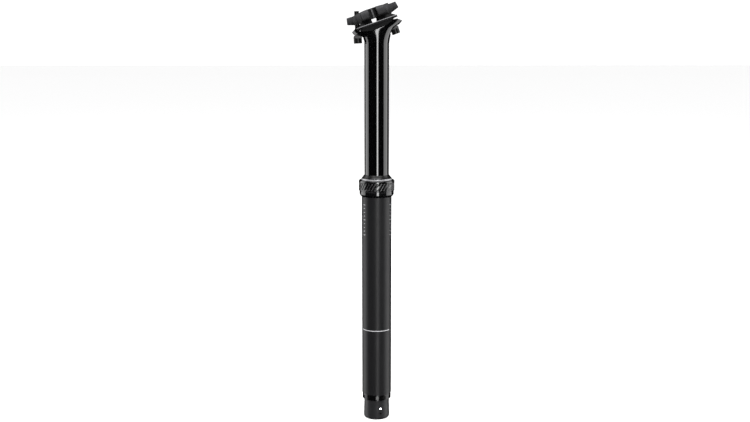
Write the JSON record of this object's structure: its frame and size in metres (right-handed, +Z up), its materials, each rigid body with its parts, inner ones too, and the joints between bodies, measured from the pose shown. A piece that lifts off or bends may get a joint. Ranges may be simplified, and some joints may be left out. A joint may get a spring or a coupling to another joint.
{
  "type": "dropper seatpost",
  "caption": "Telescopic bicycle seatpost with a sliding stanchion, knurled collar, two-bolt rail clamp and a cable-pulled release at its foot.",
  "frame": {"origin": "on the post's axis, in the plane where the collar rests on the seat tube", "axes": "+Z up the post towards the saddle, +X to the rear of the bicycle along the saddle rails' side, +Y to the bicycle's left"},
  "size_m": [0.0571, 0.054, 0.4443],
  "materials": {
    "tube_black": "bead-blasted matte black anodised",
    "collar_black": "satin black anodised, knurled",
    "stanchion_black": "polished hard black anodised",
    "head_black": "polished black anodised forging",
    "clamp_black": "blasted black anodised forging",
    "bolt_black": "black oxide",
    "wiper_rubber": "moulded",
    "wiper_ring_metal": "turned",
    "bushing_plastic": "filled bearing plastic",
    "key_brass": "drawn",
    "bare_aluminium": "turned",
    "rod_chrome": "ground and plated",
    "spring_steel": "bright"
  },
  "bodies": {
    "outer": {"outer_tube": "tube_black", "collar": "collar_black", "collar_oring": "wiper_rubber", "wiper_seal": "wiper_rubber", "wiper_ring": "wiper_ring_metal", "upper_bushing": "bushing_plastic", "end_plug": "bare_aluminium", "lock_ring": "head_black", "bottom_bumper": "wiper_rubber", "piston_rod": "rod_chrome", "rod_nut": "spring_steel", "piston": "bare_aluminium", "piston_seal": "wiper_rubber", "actuator_housing": "tube_black", "lever_pin": "spring_steel", "cable_stop": "bare_aluminium", "return_spring": "spring_steel"},
    "lever": {"actuator_lever": "bare_aluminium", "cable_anchor": "spring_steel"},
    "valve": {"valve_push_rod": "rod_chrome"},
    "post": {"stanchion": "stanchion_black", "lower_bushing": "bushing_plastic", "bushing_clip": "spring_steel", "guide_key_1": "key_brass", "guide_key_2": "key_brass", "guide_key_3": "key_brass", "gas_cylinder": "bare_aluminium", "cylinder_top_cap": "bare_aluminium", "rod_gland": "bare_aluminium", "rod_seal": "wiper_rubber", "gland_snap_ring": "spring_steel", "topout_bumper": "wiper_rubber", "seatpost_head": "head_black"},
    "gas_divider": {"floating_piston": "bare_aluminium", "floating_piston_seal": "wiper_rubber"},
    "clamp": {"upper_clamp": "clamp_black", "lower_cradle": "clamp_black"},
    "front_swivel": {"front_bolt_washer": "bolt_black"},
    "rear_swivel": {"rear_bolt_washer": "bolt_black"},
    "front_bolt": {"front_clamp_bolt": "bolt_black"},
    "rear_bolt": {"rear_clamp_bolt": "bolt_black"},
    "front_nut": {"front_barrel_nut": "bolt_black"},
    "rear_nut": {"rear_barrel_nut": "bolt_black"}
  },
  "joints": [
    {"name": "post_slide", "type": "slide", "parent": "outer", "child": "post", "axis": [0, 0, -1], "range_m": [0, 0.125], "stiffness_N_per_m": 150, "springref_m": -0.2},
    {"name": "gas_divider_slide", "type": "slide", "parent": "post", "child": "gas_divider", "axis": [0, 0, 1], "range_m": [0, 0.0315]},
    {"name": "clamp_tilt", "type": "hinge", "parent": "post", "child": "clamp", "pos_m": [-0.01457, 0, 0.21722], "axis": [0, 1, 0], "range_deg": [-4, 6]},
    {"name": "front_bolt_swing", "type": "hinge", "parent": "post", "child": "front_swivel", "pos_m": [-0.0196, 0, 0.1645], "axis": [0, 1, 0], "range_deg": [-11.07, 7.43]},
    {"name": "rear_bolt_swing", "type": "hinge", "parent": "post", "child": "rear_swivel", "pos_m": [0.0185, 0, 0.174], "axis": [0, 1, 0], "range_deg": [-8.91, 5.99]},
    {"name": "front_bolt_turn", "type": "hinge", "parent": "front_swivel", "child": "front_bolt", "pos_m": [-0.0196, 0, 0.1645], "axis": [-0.0449, 0, 0.999], "range_deg": [-350.36, 234.24]},
    {"name": "rear_bolt_turn", "type": "hinge", "parent": "rear_swivel", "child": "rear_bolt", "pos_m": [0.0185, 0, 0.174], "axis": [-0.3476, 0, 0.9376], "range_deg": [-504, 755]},
    {"name": "front_nut_swing", "type": "hinge", "parent": "clamp", "child": "front_nut", "pos_m": [-0.02043, 0, 0.18295], "axis": [0, 1, 0], "range_deg": [-17.07, 11.43]},
    {"name": "rear_nut_swing", "type": "hinge", "parent": "clamp", "child": "rear_nut", "pos_m": [0.01115, 0, 0.19382], "axis": [0, 1, 0], "range_deg": [-14.91, 9.99]},
    {"name": "lever_pull", "type": "hinge", "parent": "outer", "child": "lever", "pos_m": [0.0035, 0, -0.2306], "axis": [0, 1, 0], "range_deg": [0, 20], "deforming": ["return_spring"]},
    {"name": "valve_lift", "type": "slide", "parent": "outer", "child": "valve", "axis": [0, 0, 1], "range_m": [0, 0.00122], "stiffness_N_per_m": 300, "springref_m": -0.0002}
  ],
  "couplings": [
    {"joint": "gas_divider_slide", "follows": "post_slide", "ratio": 0.25},
    {"joint": "front_bolt_swing", "follows": "clamp_tilt", "ratio": -1.82},
    {"joint": "rear_bolt_swing", "follows": "clamp_tilt", "ratio": -1.46},
    {"joint": "front_bolt_turn", "follows": "clamp_tilt", "ratio": -58.06},
    {"joint": "rear_bolt_turn", "follows": "clamp_tilt", "ratio": 125.5},
    {"joint": "front_nut_swing", "follows": "clamp_tilt", "ratio": -2.82},
    {"joint": "rear_nut_swing", "follows": "clamp_tilt", "ratio": -2.46},
    {"joint": "lever_pull", "follows": "valve_lift", "rad_per_m": 285.71}
  ]
}
